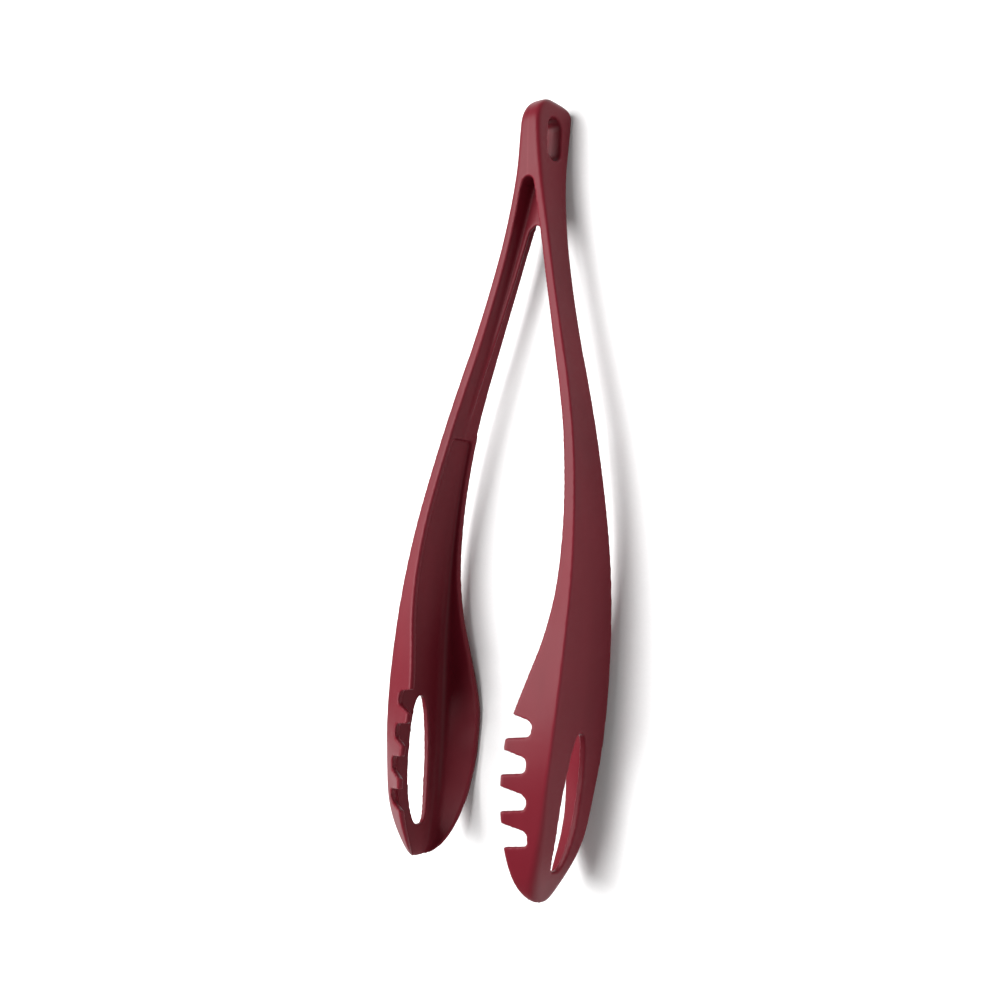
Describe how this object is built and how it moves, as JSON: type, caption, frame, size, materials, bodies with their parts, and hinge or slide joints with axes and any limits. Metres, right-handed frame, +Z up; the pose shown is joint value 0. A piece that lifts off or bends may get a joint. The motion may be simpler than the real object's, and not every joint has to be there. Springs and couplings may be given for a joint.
{
  "type": "spring loaded kitchen tongs",
  "caption": "Kitchen tongs moulded in one piece: two springy arms from a crown with a hang hole, trough shaped jaws with tines on one edge and drain slots.",
  "frame": {"origin": "middle of the tongs on the surface they lie on, under the centre of their bounding box", "axes": "+Y from the jaw tips to the crown, +X towards the right arm, +Z up, away from the surface and through the front where the tines are"},
  "size_m": [0.0834, 0.2888, 0.0406],
  "materials": {
    "burgundy_plastic": "deep burgundy nylon with a satin sheen"
  },
  "bodies": {
    "head": {"crown": "burgundy_plastic"},
    "left_half": {"left_arm": "burgundy_plastic", "left_jaw": "burgundy_plastic"},
    "right_half": {"right_arm": "burgundy_plastic", "right_jaw": "burgundy_plastic"}
  },
  "joints": [
    {"name": "left_flex", "type": "hinge", "parent": "head", "child": "left_half", "pos_m": [-0.0032, 0.09512, 0.01192], "axis": [0, 0.0404, 0.9992], "range_deg": [-1.5, 6], "stiffness_Nm_per_rad": 8},
    {"name": "right_flex", "type": "hinge", "parent": "head", "child": "right_half", "pos_m": [0.0032, 0.09512, 0.01192], "axis": [0, -0.0404, -0.9992], "range_deg": [-1.5, 6], "stiffness_Nm_per_rad": 8}
  ]
}
